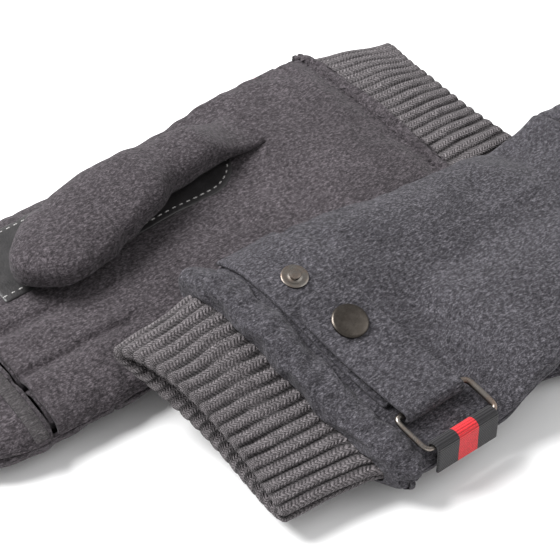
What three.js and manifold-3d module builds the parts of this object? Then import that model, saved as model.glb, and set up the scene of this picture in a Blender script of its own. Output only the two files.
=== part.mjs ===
// A pair of convertible flip-top mittens, laid as a pair: the right one palm up, the left one
// resting on its near edge, back up. Millimetres, +Z up. Each mitten is drawn once in its own
// hand coordinates (u, v, w) and then laid down:
//   u runs from the seam between rib cuff and shell towards the fingertips,
//   v runs across the hand towards the thumb side,
//   w is the thickness, positive towards the back of the hand.
import * as THREE from "three";
import { mergeVertices } from "three/addons/utils/BufferGeometryUtils.js";
import Module from "manifold-3d";

const wasm = await Module();
wasm.setup();

// ---------------------------------------------------------------- driving dimensions
const GAP = 0.3; // clearance between pieces that touch

const PALM_HALF_WIDTH = 48;
const WRIST_HALF_WIDTH = PALM_HALF_WIDTH - 2.5;
const CUFF_LENGTH = 38;
const CUFF_SEAM_HALF_WIDTH = WRIST_HALF_WIDTH - 3.5;
const CUFF_MOUTH_HALF_WIDTH = CUFF_SEAM_HALF_WIDTH - 4.5;
const CUFF_MOUTH_HALF_HEIGHT = 7;
const CUFF_WALL = 2.2;
const CUFF_MOUTH_DIP = 5; // how far the middle of the mouth is set back from its corners

const HALF_HEIGHT = 9.6; // half the thickness of the empty shell over the palm
const WRIST_HALF_HEIGHT = HALF_HEIGHT - 0.4;
const SHELL_WALL = 2.4;
const SECTION_POWER = 2.5; // 2 is an ellipse, more is boxier
const FLAT_RISE = 0.985; // the middle of both faces is flat at this share of the half thickness
const SIDE_LEAN = 0.03; // how fast the centre line moves to the little-finger side

const PALM_END = 128; // where the palm panel ends and the finger stalls start
const HINGE_U = 150; // the seam on the back of the hand that the cap turns on
const CAP_PALM_EDGE = 174; // rear edge of the cap on the palm side
const TIP_U = 216;
const CAP_TURN_START = 176; // where the cap begins to round off

const STALL_EDGES = [-44, -27, -7.5, 13.5, 38.5]; // sides of the little, ring, middle and index stalls
const STALL_NAMES = ["little_stall", "ring_stall", "middle_stall", "index_stall"];
const STALL_WALL = 1.8;
const STALL_HALF_HEIGHT = HALF_HEIGHT - SHELL_WALL - GAP;
const STALL_END = CAP_PALM_EDGE - 2; // clears the cap's palm edge as it swings

const LINING_WALL = 1.2;
const LINING_GAP = 0.6;
const LINING_START = 5;
const LINING_SHORT = 3; // how far it stops before the finger stalls

const HEM_WIDTH = 13;
const HEM_OVERHANG = 5; // how far the hem reaches over the cuff
const HEM_RISE_BACK = 5;
const HEM_RISE_PALM = 0.9;
const HEM_WALL_MIN = 0.8;

const STRAP_WIDTH = 24;
const STRAP_THICKNESS = 1.7;
const STRAP_GAP = 0.8; // the strap over the curved shell
const STRAP_U = HEM_WIDTH - HEM_OVERHANG + 1.6 + STRAP_WIDTH / 2; // its centre line
const STRAP_SLANT = 0.03;
const STRAP_SET_IN = 5.5; // from the little-finger edge of the palm to the sewn end of the strap
const STRAP_SHORT = 4.5; // from the ring's inner bar to the free end of the strap's base
const FLAP_TIP_V = -10;
const FLAP_TURN = [-115, 100]; // degrees of the flap's fold round the ring
const FLAP_ROUNDS_FROM = 0.82; // share of the flap's length where its tip begins to narrow
const RING_WIRE = 1; // radius of the ring's wire
const RING_INSIDE = 9.5; // between the ring's two long bars
const RING_OUTER_BAR_V = WRIST_HALF_WIDTH - 1.5;
const RING_CLEAR = 1.5; // each side of the strap inside the ring
const RING_PLAY = 0.45; // between the wire and what is folded round it
const RING_RISE = 4.2; // the ring's wire centres over the shell
const RING_CORNER = 2.4;

const SNAP_CAP_RADIUS = 6.25;
const SNAP_CAP_HEIGHT = 1.8;
const SNAP_STUD_RADIUS = 4.6;
const SNAP_FLANGE = 0.6;
const SNAP_KNOB_RADIUS = 2.1;
const SNAP_KNOB_HEIGHT = 1.3;
const SNAP_SOCKET_RADIUS = 5.2;
const SNAP_SOCKET_HEIGHT = 1.2;
const SNAP_V = 4;
const SPARE_STUD_V = -20;
const SNAP_STACK = GAP + SNAP_FLANGE + 0.2 + SNAP_SOCKET_HEIGHT + GAP; // strap to flap

const WEBBING_THICKNESS = 1.1;
const WEBBING_WIDTH = STRAP_WIDTH + 1;
const WEBBING_TURN = [250, 0]; // degrees of its fold round the ring
const WEBBING_FOOT = -2; // its sewn end, just past the side seam

const PATCH_THICKNESS = 1.2;
const PATCH_GAP = 0.5; // over the gently curved palm
const PATCH_U = [56, 158];
const PATCH_V = [3, 37];

const THUMB_ROOT_U = 43; // the thumb's seam nearest the cuff
const THUMB_ROOT_V = 18;
const THUMB_LENGTH = 110;
const THUMB_HALF_WIDTH = 18.5;
const THUMB_HEIGHT = 17;
const THUMB_WALL = 2.2;
const THUMB_HOLE_U = 24; // from the root to the middle of the hole into the palm
const THUMB_HOLE_RADII = [13, 7.5];

const BINDING_WIDTH = 6;
const BINDING_THICKNESS = 1.3;
const BINDING_ENDS = [0.07, 0.93]; // shares of the half section it runs between
const BINDING_STEPS = 14;

const RIGHT_SEAM_X = 75;
const RIGHT_MIDDLE_Y = PALM_HALF_WIDTH - 10;
const LEFT_SEAM_X = -30;
const LEFT_MIDDLE_Y = 6 - PALM_HALF_WIDTH;
const LEFT_SKEW = 0.14; // the left one lies a little twisted, its thumb side pushed forwards
const LEFT_EASE = 5; // how far its wrist spreads towards the thumb side
const LEFT_THUMB_FLATTEN = 0.55;
const LEFT_THUMB_ANGLE = 22;
const RIGHT_THUMB_ANGLE = -3;
const LEFT_SLOPE_Y = [LEFT_MIDDLE_Y - 36, -2]; // the near and the far edge of the slope up onto the right one
const LEFT_OVER_RIGHT = 18.5; // how far the left one's upper edge is lifted by the right one

// ---------------------------------------------------------------- small helpers
const V = (x, y, z) => new THREE.Vector3(x, y, z);
const lerp = THREE.MathUtils.lerp;
const { smoothstep } = THREE.MathUtils;
const steps = (n) => Array.from({ length: n + 1 }, (_, i) => i / n);

// A value that passes smoothly through [position, value] pairs.
function through(pairs, x) {
  if (x <= pairs[0][0]) return pairs[0][1];
  for (let i = 1; i < pairs.length; i++) {
    if (x <= pairs[i][0]) {
      const [x0, y0] = pairs[i - 1];
      const [x1, y1] = pairs[i];
      return lerp(y0, y1, smoothstep(x, x0, x1));
    }
  }
  return pairs[pairs.length - 1][1];
}

// A closed body from rings of points. Its ends are "fan" (a flat or domed end), "strip" (a ring that
// runs out and back along a sheet) or "loop" (the last ring joins the first).
function loft(rings, ends) {
  const n = rings[0].length;
  const points = rings.flat();
  const index = [];
  const at = (i, j) => i * n + (j % n);
  const rows = ends === "loop" ? rings.length : rings.length - 1;
  for (let i = 0; i < rows; i++) {
    const next = (i + 1) % rings.length;
    for (let j = 0; j < n; j++) {
      index.push(at(i, j), at(next, j), at(next, j + 1), at(i, j), at(next, j + 1), at(i, j + 1));
    }
  }
  if (ends !== "loop") {
    [0, rings.length - 1].forEach((i, last) => {
      const put = (a, b, c) => (last ? index.push(a, c, b) : index.push(a, b, c));
      if (ends === "fan") {
        const centre = rings[i].reduce((s, p) => s.add(p), V(0, 0, 0)).divideScalar(n);
        points.push(centre);
        for (let j = 0; j < n; j++) put(points.length - 1, at(i, j), at(i, j + 1));
      } else {
        for (let j = 0; j < n / 2 - 1; j++) {
          put(at(i, j), at(i, j + 1), at(i, n - 2 - j));
          put(at(i, j), at(i, n - 2 - j), at(i, n - 1 - j));
        }
      }
    });
  }
  return facingOut(points, index);
}

function facingOut(points, index) {
  let volume = 0;
  for (let i = 0; i < index.length; i += 3) {
    const [a, b, c] = [points[index[i]], points[index[i + 1]], points[index[i + 2]]];
    volume += a.dot(V(0, 0, 0).crossVectors(b, c));
  }
  if (volume < 0) {
    for (let i = 0; i < index.length; i += 3) [index[i], index[i + 1]] = [index[i + 1], index[i]];
  }
  const geometry = new THREE.BufferGeometry();
  geometry.setAttribute("position", new THREE.Float32BufferAttribute(points.flatMap((p) => p.toArray()), 3));
  geometry.setIndex(index);
  return geometry;
}

// A sheet from two grids of points, its outer and its inner face.
const sheet = (outer, inner) => loft(outer.map((row, i) => [...row, ...[...inner[i]].reverse()]), "strip");

// A tube with a wall, open at both ends.
const openTube = (outer, inner) => loft([...outer, ...[...inner].reverse()], "loop");

function solidOf(geometry) {
  const plain = geometry.clone();
  plain.deleteAttribute("normal");
  plain.deleteAttribute("uv");
  const merged = mergeVertices(plain, 1e-4);
  return new wasm.Manifold(new wasm.Mesh({
    numProp: 3,
    vertProperties: merged.attributes.position.array,
    triVerts: new Uint32Array(merged.index.array),
  }));
}

function geometryOf(solid) {
  const mesh = solid.getMesh();
  const geometry = new THREE.BufferGeometry();
  const xyz = new Float32Array(mesh.numVert * 3);
  for (let i = 0; i < mesh.numVert; i++) {
    xyz.set(mesh.vertProperties.subarray(i * mesh.numProp, i * mesh.numProp + 3), i * 3);
  }
  geometry.setAttribute("position", new THREE.BufferAttribute(xyz, 3));
  geometry.setIndex(new THREE.BufferAttribute(mesh.triVerts, 1));
  return geometry;
}

const cut = (geometry, ...tools) => geometryOf(
  tools.reduce((solid, tool) => solid.subtract(solidOf(tool)), solidOf(geometry)));

// ---------------------------------------------------------------- the mitten's section
// Every long piece has its rings at the same stations, so that nested pieces stay parallel.
const STATION_PITCH = 12;

function stationsBetween(from, to) {
  const first = Math.floor(from / STATION_PITCH) + 1;
  const count = Math.ceil(to / STATION_PITCH) - first;
  return [from, ...Array.from({ length: count }, (_, i) => (first + i) * STATION_PITCH), to];
}

// The same function of u, made of straight stretches between the stations.
const byStation = (f) => (u, ...rest) => {
  const low = Math.floor(u / STATION_PITCH) * STATION_PITCH;
  return lerp(f(low, ...rest), f(low + STATION_PITCH, ...rest), (u - low) / STATION_PITCH);
};

const centreAt = (u) => 2 - SIDE_LEAN * Math.max(u, 0);

function halfWidthAt(u) {
  if (u < 0) return lerp(CUFF_SEAM_HALF_WIDTH, CUFF_MOUTH_HALF_WIDTH, -u / CUFF_LENGTH);
  const body = through([[0, WRIST_HALF_WIDTH], [HEM_WIDTH, WRIST_HALF_WIDTH], [70, PALM_HALF_WIDTH],
    [PALM_END, PALM_HALF_WIDTH], [CAP_TURN_START, PALM_HALF_WIDTH - 1.5]], u);
  return u <= CAP_TURN_START ? body : body * roundOff(u);
}

function halfHeightAt(u) {
  if (u < 0) return lerp(WRIST_HALF_HEIGHT - SHELL_WALL, CUFF_MOUTH_HALF_HEIGHT, -u / CUFF_LENGTH);
  const body = through([[0, WRIST_HALF_HEIGHT], [STRAP_U + STRAP_WIDTH, WRIST_HALF_HEIGHT],
    [80, HALF_HEIGHT]], u);
  return u <= CAP_TURN_START ? body : body * lerp(0.3, 1, roundOff(u));
}

const roundOff = (u) => Math.sqrt(Math.max(1 - ((u - CAP_TURN_START) / (TIP_U - CAP_TURN_START)) ** 2, 0));

const AROUND = 28; // corners of a ring round the whole section

const riseAt = (across) => Math.min((1 - across ** SECTION_POWER) ** (1 / SECTION_POWER), FLAT_RISE);

// A point of the section at u, grown outwards by `grow`; angle 0 is the thumb side, 90 the back.
function sectionPoint(u, angle, grow = 0) {
  const across = Math.cos(angle);
  const rise = Math.sign(Math.sin(angle)) * riseAt(Math.abs(across));
  const dip = u < 0 ? CUFF_MOUTH_DIP * (u / CUFF_LENGTH) ** 2 * (1 - across ** 2) : 0;
  return V(u + dip, centreAt(u) + Math.max(halfWidthAt(u) + grow, 0.4) * across,
    Math.max(halfHeightAt(u) + grow, 0.3) * rise);
}

const ring = (u, grow, count) => steps(count).slice(0, -1).map((t) => sectionPoint(u, t * 2 * Math.PI, grow));

// The height of the outer surface on the back (side 1) or the palm (side -1), grown by `grow`.
function surface(u, v, side, grow = 0) {
  const across = Math.min(Math.abs(v - centreAt(u)) / (halfWidthAt(u) + grow), 1);
  return side * (halfHeightAt(u) + grow) * riseAt(across);
}

// One face of the shell: half the section, on the back (side 1) or the palm (side -1).
function halfShell(stations, side, wall, count = AROUND / 2) {
  const rows = (grow) => stations.map((u) => steps(count).map((t) => {
    const p = sectionPoint(u, side * t * Math.PI, grow);
    p.z = side * Math.max(side * p.z, 0) + side * GAP / 2;
    return p;
  }));
  return sheet(rows(0), rows(-wall));
}

// ---------------------------------------------------------------- the pieces, in hand coordinates
function ribCuff() {
  const stations = stationsBetween(-CUFF_LENGTH, -GAP);
  return openTube(stations.map((u) => ring(u, 0, AROUND)), stations.map((u) => ring(u, -CUFF_WALL, AROUND)));
}

function wristHem() {
  const outer = [];
  const inner = [];
  for (const t of steps(6)) {
    const u = lerp(-HEM_OVERHANG, HEM_WIDTH - HEM_OVERHANG, t);
    const bulge = Math.sqrt(Math.sin(Math.PI * lerp(0.04, 0.96, t)));
    const seat = ring(Math.max(u, 0), GAP, AROUND);
    outer.push(seat.map((p) => {
      const rise = p.z > 0 ? HEM_RISE_BACK : HEM_RISE_PALM;
      const soft = lerp(HEM_RISE_PALM, rise, Math.min(Math.abs(p.z) / 4, 1));
      const away = V(0, p.y / PALM_HALF_WIDTH, p.z / HALF_HEIGHT).normalize();
      return V(u, p.y, p.z).addScaledVector(away, HEM_WALL_MIN + soft * bulge);
    }));
    inner.push(seat.map((p) => V(u, p.y, p.z)));
  }
  return openTube(outer, inner);
}

const backPanel = () => halfShell(stationsBetween(0, HINGE_U - GAP), 1, SHELL_WALL);
const palmPanel = (hole) => cut(halfShell(stationsBetween(0, PALM_END - GAP), -1, SHELL_WALL), hole);

function lining(hole) {
  const stations = stationsBetween(LINING_START, PALM_END - LINING_SHORT);
  const grow = -SHELL_WALL - LINING_GAP;
  const tube = openTube(stations.map((u) => ring(u, grow, AROUND)),
    stations.map((u) => ring(u, grow - LINING_WALL, AROUND)));
  return cut(tube, hole);
}

function fingerStall(k) {
  const low = STALL_EDGES[k] + GAP / 2;
  const high = STALL_EDGES[k + 1] - GAP / 2;
  const rows = (wall) => stationsBetween(PALM_END, STALL_END).map((u) => steps(16).slice(0, -1).map((t) => {
    const angle = t * 2 * Math.PI;
    const bend = (x) => Math.sign(x) * Math.abs(x) ** 0.8;
    const v = (low + high) / 2 + ((high - low) / 2 - wall) * bend(Math.cos(angle));
    const room = surface(u, v, 1, -SHELL_WALL - 2 * GAP) - wall;
    return V(u, v, Math.min(STALL_HALF_HEIGHT - wall, Math.max(room, 0.5)) * bend(Math.sin(angle)));
  }));
  return openTube(rows(0), rows(STALL_WALL));
}

// The cap's stations are closer together towards its round tip.
const CAP_ROUNDING = [0.3, 0.55, 0.75, 0.88, 0.96, 0.99].map((t) => lerp(CAP_TURN_START, TIP_U, t));
const capBack = () => halfShell([...stationsBetween(HINGE_U + GAP, CAP_TURN_START), ...CAP_ROUNDING], 1,
  SHELL_WALL);
const capPalm = () => halfShell([CAP_PALM_EDGE, CAP_TURN_START, ...CAP_ROUNDING], -1, SHELL_WALL);

function capBinding() {
  const rows = (grow) => [0, 0.5, 1].map((t) => {
    const u = CAP_PALM_EDGE + t * BINDING_WIDTH;
    return steps(BINDING_STEPS).map((s) => sectionPoint(u, -lerp(...BINDING_ENDS, s) * Math.PI, grow));
  });
  return sheet(rows(GAP + BINDING_THICKNESS), rows(GAP));
}

// The leather patch lies on the palm panel, round at the end near the cuff.
function patch(hole) {
  const [u0, u1] = PATCH_U;
  const [v0, v1] = PATCH_V;
  const radius = (v1 - v0) / 2;
  const rows = (grow) => steps(18).map((t) => {
    const u = lerp(u0, u1, t ** 1.3);
    const near = Math.min((u - u0) / radius, 1);
    const half = radius * Math.max(Math.sqrt(Math.max(1 - (1 - near) ** 2, 0)), 0.2);
    return steps(6).map((s) => {
      const v = (v0 + v1) / 2 + half * (2 * s - 1);
      return V(u, v, surface(u, v, -1) - grow);
    });
  });
  return cut(sheet(rows(PATCH_GAP + PATCH_THICKNESS), rows(PATCH_GAP)), hole);
}

// ---------------------------------------------------------------- the thumb
// It lies on the palm from a low root near the cuff to a round tip, turned by `angle` in the palm's
// plane and squeezed by `flatten`. Its hollow opens through a hole into the palm.
const THUMB_SEAT = HALF_HEIGHT + PATCH_GAP + PATCH_THICKNESS + GAP;

function thumbBody(flatten, inset) {
  const rows = [];
  const from = inset * 2.2;
  const to = THUMB_LENGTH - inset;
  for (const t of steps(12)) {
    const x = lerp(from, to, t < 0.5 ? t * 1.1 : 1 - (1 - t) ** 1.25 * (0.45 / 0.5 ** 1.25));
    const tip = Math.sqrt(Math.max(1 - (Math.max(x - 84, 0) / (THUMB_LENGTH - 84)) ** 2, 0));
    const width = through([[0, 8], [28, 16.5], [60, THUMB_HALF_WIDTH], [90, THUMB_HALF_WIDTH - 2]], x);
    const height = through([[0, 4.5], [30, 14], [55, THUMB_HEIGHT], [95, THUMB_HEIGHT - 2]], x) * flatten;
    const a = Math.max(width * tip - inset, 0.6);
    const b = Math.max((height * lerp(0.35, 1, tip)) / 2 - inset, 0.5);
    rows.push(steps(16).slice(0, -1).map((s) => {
      const angle = s * 2 * Math.PI;
      const bend = (y) => Math.sign(y) * Math.abs(y) ** 0.85;
      return V(x, a * bend(Math.cos(angle)), -height / 2 + b * bend(Math.sin(angle)));
    }));
  }
  return loft(rows, "fan");
}

function placeThumb(geometry, angle) {
  geometry.rotateZ(THREE.MathUtils.degToRad(angle));
  geometry.translate(THUMB_ROOT_U, THUMB_ROOT_V, -THUMB_SEAT);
  return geometry;
}

function thumbHole(angle, shrink, depth) {
  const [ru, rv] = THUMB_HOLE_RADII;
  const hole = new THREE.CylinderGeometry(1, 1, depth, 28);
  hole.rotateX(Math.PI / 2);
  hole.scale(ru - shrink, rv - shrink, 1);
  hole.translate(THUMB_HOLE_U, 0, 0);
  return placeThumb(hole, angle);
}

function thumb(angle, flatten) {
  const mouth = thumbHole(angle, 0, THUMB_WALL * 3);
  return cut(placeThumb(thumbBody(flatten, 0), angle), placeThumb(thumbBody(flatten, THUMB_WALL), angle),
    mouth);
}

// ---------------------------------------------------------------- strap, ring and webbing
// A strap is a ribbon that follows a path over the back of the hand: the path gives, for each of its
// points, the place across the hand and the height, and the ribbon has a thickness and a width.
function ribbon(path, thickness, halfWidthAlong, middle) {
  const normals = path.map((p, i) => {
    const a = path[Math.max(i - 1, 0)];
    const b = path[Math.min(i + 1, path.length - 1)];
    return new THREE.Vector2(-(b.y - a.y), b.x - a.x).normalize();
  });
  const rows = (out) => path.map((p, i) => steps(4).map((t) => V(
    middle(p.x) + halfWidthAlong(i / (path.length - 1)) * (2 * t - 1),
    p.x + normals[i].x * out, p.y + normals[i].y * out)));
  return sheet(rows(thickness), rows(0));
}

const strapMiddle = (v) => STRAP_U + STRAP_SLANT * Math.max(v, 0);
const overBack = (v, grow) => new THREE.Vector2(v, surface(STRAP_U, v, 1, 0) + grow);

const INNER_BAR_V = RING_OUTER_BAR_V - RING_INSIDE - 2 * RING_WIRE;
const bar = (v) => {
  const foot = new THREE.Vector2(v, surface(STRAP_U, v, 1));
  const beyond = new THREE.Vector2(v + 1, surface(STRAP_U, v + 1, 1));
  const along = beyond.sub(foot).normalize();
  return foot.add(new THREE.Vector2(-along.y, along.x).multiplyScalar(RING_RISE));
};

function strapBase() {
  const path = steps(20).map((t) => {
    const v = lerp(-PALM_HALF_WIDTH + STRAP_SET_IN, INNER_BAR_V - STRAP_SHORT, t);
    return overBack(v, STRAP_GAP);
  });
  return ribbon(path, STRAP_THICKNESS, () => STRAP_WIDTH / 2, strapMiddle);
}

function strapFlap() {
  const inner = bar(INNER_BAR_V);
  const around = RING_WIRE + RING_PLAY;
  const turn = steps(6).map((t) => {
    const angle = lerp(...FLAP_TURN, t) * Math.PI / 180;
    return new THREE.Vector2(inner.x + around * Math.cos(angle), inner.y + around * Math.sin(angle));
  });
  const back = steps(14).slice(1).map((t) => {
    const v = lerp(INNER_BAR_V, FLAP_TIP_V, t);
    const rise = STRAP_GAP + STRAP_THICKNESS + SNAP_STACK;
    const low = inner.y + around - surface(STRAP_U, INNER_BAR_V, 1);
    return overBack(v, lerp(low, rise, smoothstep(t, 0, 0.45)));
  });
  const tip = (t) => {
    const round = Math.max((t - FLAP_ROUNDS_FROM) / (1 - FLAP_ROUNDS_FROM), 0);
    return (STRAP_WIDTH / 2) * (1 - 0.45 * round ** 2.2);
  };
  return ribbon([...turn, ...back], -STRAP_THICKNESS, tip, strapMiddle);
}

function strapRing() {
  const a = bar(INNER_BAR_V);
  const b = bar(RING_OUTER_BAR_V);
  const half = STRAP_WIDTH / 2 + RING_CLEAR + RING_WIRE;
  const short = a.distanceTo(b) / 2;
  const path = [];
  [[1, 1], [-1, 1], [-1, -1], [1, -1]].forEach(([sx, sy], quarter) => {
    for (const t of steps(3)) {
      const angle = (quarter + t) * Math.PI / 2;
      path.push(new THREE.Vector2(sx * (half - RING_CORNER) + RING_CORNER * Math.cos(angle),
        sy * (short - RING_CORNER) + RING_CORNER * Math.sin(angle)));
    }
  });
  const across = b.clone().sub(a).normalize();
  const up = new THREE.Vector2(-across.y, across.x);
  const mid = a.clone().add(b).multiplyScalar(0.5);
  const middle = strapMiddle(mid.x);
  const rings = path.map((p, i) => {
    const next = path[(i + 1) % path.length];
    const last = path[(i + path.length - 1) % path.length];
    const out = new THREE.Vector2(next.y - last.y, last.x - next.x).normalize();
    return steps(8).slice(0, -1).map((t) => {
      const side = RING_WIRE * Math.cos(t * 2 * Math.PI);
      const rise = RING_WIRE * Math.sin(t * 2 * Math.PI);
      const x = p.x + out.x * side;
      const y = p.y + out.y * side;
      return V(middle + x, mid.x + across.x * y + up.x * rise, mid.y + across.y * y + up.y * rise);
    });
  });
  return loft(rings, "loop");
}

// The webbing goes round the ring's outer bar and down over the edge of the hand to the side seam.
function webbingTab() {
  const outer = bar(RING_OUTER_BAR_V);
  const around = RING_WIRE + RING_PLAY;
  const turn = steps(7).map((t) => {
    const angle = lerp(...WEBBING_TURN, t) * Math.PI / 180;
    return new THREE.Vector2(outer.x + around * Math.cos(angle), outer.y + around * Math.sin(angle));
  });
  const down = steps(3).slice(1).map((t) =>
    new THREE.Vector2(outer.x + around, lerp(outer.y, WEBBING_FOOT, t)));
  return ribbon([...turn, ...down], WEBBING_THICKNESS, () => WEBBING_WIDTH / 2,
    () => strapMiddle(RING_OUTER_BAR_V));
}

// ---------------------------------------------------------------- snaps, turned on a lathe
const lathe = (profile, segments = 20) => {
  const geometry = new THREE.LatheGeometry(profile.map(([r, h]) => new THREE.Vector2(r, h)), segments);
  return geometry.rotateX(Math.PI / 2);
};

const snapCap = () => lathe([[0, 0], [SNAP_CAP_RADIUS - 0.5, 0], [SNAP_CAP_RADIUS, 0.5],
  [SNAP_CAP_RADIUS - 0.2, 1.1], [SNAP_CAP_RADIUS - 1.4, 1.7], [2.4, SNAP_CAP_HEIGHT],
  [0, SNAP_CAP_HEIGHT - 0.15]]);

const snapStud = () => lathe([[0, 0], [SNAP_STUD_RADIUS, 0], [SNAP_STUD_RADIUS, SNAP_FLANGE * 0.6],
  [SNAP_STUD_RADIUS - 0.8, SNAP_FLANGE], [SNAP_KNOB_RADIUS * 0.8, SNAP_FLANGE],
  [SNAP_KNOB_RADIUS * 0.75, SNAP_FLANGE + SNAP_KNOB_HEIGHT * 0.4],
  [SNAP_KNOB_RADIUS, SNAP_FLANGE + SNAP_KNOB_HEIGHT * 0.7],
  [SNAP_KNOB_RADIUS * 0.7, SNAP_FLANGE + SNAP_KNOB_HEIGHT], [0, SNAP_FLANGE + SNAP_KNOB_HEIGHT]]);

const snapSocket = () => lathe([[SNAP_KNOB_RADIUS + 0.4, 0], [SNAP_SOCKET_RADIUS - 0.5, 0],
  [SNAP_SOCKET_RADIUS, 0.5], [SNAP_SOCKET_RADIUS, SNAP_SOCKET_HEIGHT],
  [SNAP_KNOB_RADIUS + 0.4, SNAP_SOCKET_HEIGHT], [SNAP_KNOB_RADIUS + 0.4, 0]]);

// ---------------------------------------------------------------- laying the two mittens down
const UNDER_STRAP = STRAP_GAP + 2 * STRAP_THICKNESS + SNAP_STACK + GAP + SNAP_CAP_HEIGHT -
  (HALF_HEIGHT - WRIST_HALF_HEIGHT);

const PALM_SAG = 2.4; // the palm still hangs a little above the table

const STRAP_STATION = Math.ceil((STRAP_U + STRAP_WIDTH / 2) / STATION_PITCH); // first one past the strap

// The middle of the right mitten's thickness over the table: its strap and snaps are underneath.
const rightLift = byStation((u) => through([
  [-CUFF_LENGTH, UNDER_STRAP - 4],
  [-STATION_PITCH, UNDER_STRAP],
  [STRAP_STATION * STATION_PITCH, UNDER_STRAP],
  [6 * STATION_PITCH, PALM_SAG],
  [7 * STATION_PITCH, PALM_SAG],
  [9 * STATION_PITCH, 0],
], u));

function layRight(p) {
  return V(RIGHT_SEAM_X - p.x, RIGHT_MIDDLE_Y + p.y, HALF_HEIGHT + rightLift(p.x) - p.z);
}

// The left one lies on its own thumb as well, and its fingertips droop past that.
const LEFT_THUMB_ROOM = THUMB_HEIGHT * LEFT_THUMB_FLATTEN + THUMB_SEAT - HALF_HEIGHT + 4 * GAP;
const LEFT_TIP_LIFT = 13;
const LEFT_TIP_DROOP = 0.15;

const leftLift = byStation((u, v) => {
  const y = LEFT_MIDDLE_Y - v;
  const x = LEFT_SEAM_X + u;
  const pastStrap = smoothstep(u, STRAP_STATION * STATION_PITCH, (STRAP_STATION + 2) * STATION_PITCH);
  const right = LEFT_OVER_RIGHT + pastStrap * Math.max(rightLift(RIGHT_SEAM_X - x), 0);
  const onRight = right * smoothstep(y, ...LEFT_SLOPE_Y);
  const onThumb = LEFT_THUMB_ROOM * pastStrap;
  const onHem = HEM_RISE_PALM + HEM_WALL_MIN + GAP - (HALF_HEIGHT - WRIST_HALF_HEIGHT);
  const draped = lerp(onRight, Math.max(onRight, onThumb), smoothstep(v, -25, 20)) + onHem * (1 - pastStrap);
  const tips = LEFT_TIP_LIFT - LEFT_TIP_DROOP * Math.max(u - 13 * STATION_PITCH, 0);
  return lerp(draped, tips, smoothstep(u, 9 * STATION_PITCH, 12 * STATION_PITCH));
});

const easeAlong = byStation((u) => smoothstep(u, -8, 3) * (1 - smoothstep(u, 50, 90)));

function layLeft(p) {
  const v = p.y + LEFT_EASE * smoothstep(p.y, 10, 42) * easeAlong(p.x);
  return V(LEFT_SEAM_X + p.x + LEFT_SKEW * v, LEFT_MIDDLE_Y - v, HALF_HEIGHT + leftLift(p.x, p.y) + p.z);
}

function laid(geometry, lay) {
  const flat = geometry.clone();
  flat.deleteAttribute("normal");
  flat.deleteAttribute("uv");
  const merged = flat.index ? flat : mergeVertices(flat, 1e-4);
  const position = merged.getAttribute("position");
  const points = [];
  for (let i = 0; i < position.count; i++) {
    points.push(lay(new THREE.Vector3().fromBufferAttribute(position, i)));
  }
  return facingOut(points, [...merged.index.array]);
}

// A stiff piece keeps its shape: it is only turned to lie on the surface where it sits.
function seatOn(geometry, lay, v, grow) {
  const u = strapMiddle(v);
  const at = (du, dv) => lay(V(u + du, v + dv, surface(STRAP_U, v + dv, 1) + grow));
  const along = at(1, 0).sub(at(-1, 0)).normalize();
  const side = at(0, 1).sub(at(0, -1)).normalize();
  const up = V(0, 0, 0).crossVectors(along, side).normalize();
  const outside = lay(V(u, v, surface(STRAP_U, v, 1) + grow + 1)).sub(at(0, 0));
  if (up.dot(outside) < 0) up.negate();
  const third = V(0, 0, 0).crossVectors(up, along);
  const placed = geometry.clone();
  placed.applyMatrix4(new THREE.Matrix4().makeBasis(along, third, up).setPosition(at(0, 0)));
  return placed;
}

// ---------------------------------------------------------------- materials
const finish = (color, roughness, metalness = 0) =>
  new THREE.MeshStandardMaterial({ color, roughness, metalness });
const rightWool = finish(0x4b4848, 0.95);
const leftWool = finish(0x525258, 0.95);
const ribKnit = finish(0x5f5d5c, 0.95);
const fleece = finish(0x2c2b2e, 0.95);
const leather = finish(0x1b1a1c, 0.45);
const webbing = finish(0x1c1a1d, 0.8);
const gunmetal = finish(0x58544f, 0.3, 1);
const nickel = finish(0xa8a29a, 0.3, 1);

const group = new THREE.Group();

function add(name, geometry, material) {
  const mesh = new THREE.Mesh(geometry, material);
  mesh.name = name;
  group.add(mesh);
}

function mitten(side, lay, wool, thumbAngle, flatten) {
  const put = (name, geometry, material) => add(side + "_" + name, laid(geometry, lay), material);
  const hole = (shrink) => thumbHole(thumbAngle, shrink, 4 * HALF_HEIGHT - 16);
  put("rib_cuff", ribCuff(), ribKnit);
  put("wrist_hem", wristHem(), wool);
  put("back_panel", backPanel(), wool);
  put("palm_panel", palmPanel(hole(0)), wool);
  put("lining", lining(hole(0)), fleece);
  put("palm_patch", patch(hole(0)), leather);
  put("thumb", thumb(thumbAngle, flatten), wool);
  STALL_NAMES.forEach((name, k) => put(name, fingerStall(k), wool));
  put("cap_back", capBack(), wool);
  put("cap_palm", capPalm(), wool);
  put("cap_binding", capBinding(), ribKnit);
  put("strap_base", strapBase(), wool);
  put("strap_flap", strapFlap(), wool);
  put("strap_ring", strapRing(), nickel);
  put("webbing_tab", webbingTab(), webbing);

  const strapTop = STRAP_GAP + STRAP_THICKNESS + GAP;
  const flapTop = STRAP_GAP + 2 * STRAP_THICKNESS + SNAP_STACK + GAP;
  const seat = (name, geometry, material, v, grow) =>
    add(side + "_" + name, seatOn(geometry, lay, v, grow), material);
  seat("snap_cap", snapCap(), gunmetal, SNAP_V, flapTop);
  seat("snap_stud", snapStud(), nickel, SNAP_V, strapTop);
  seat("snap_socket", snapSocket(), nickel, SNAP_V, strapTop + SNAP_FLANGE + 0.2);
  seat("spare_stud", snapStud(), nickel, SPARE_STUD_V, strapTop);
}

mitten("right", layRight, rightWool, RIGHT_THUMB_ANGLE, 1);
mitten("left", layLeft, leftWool, LEFT_THUMB_ANGLE, LEFT_THUMB_FLATTEN);

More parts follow.
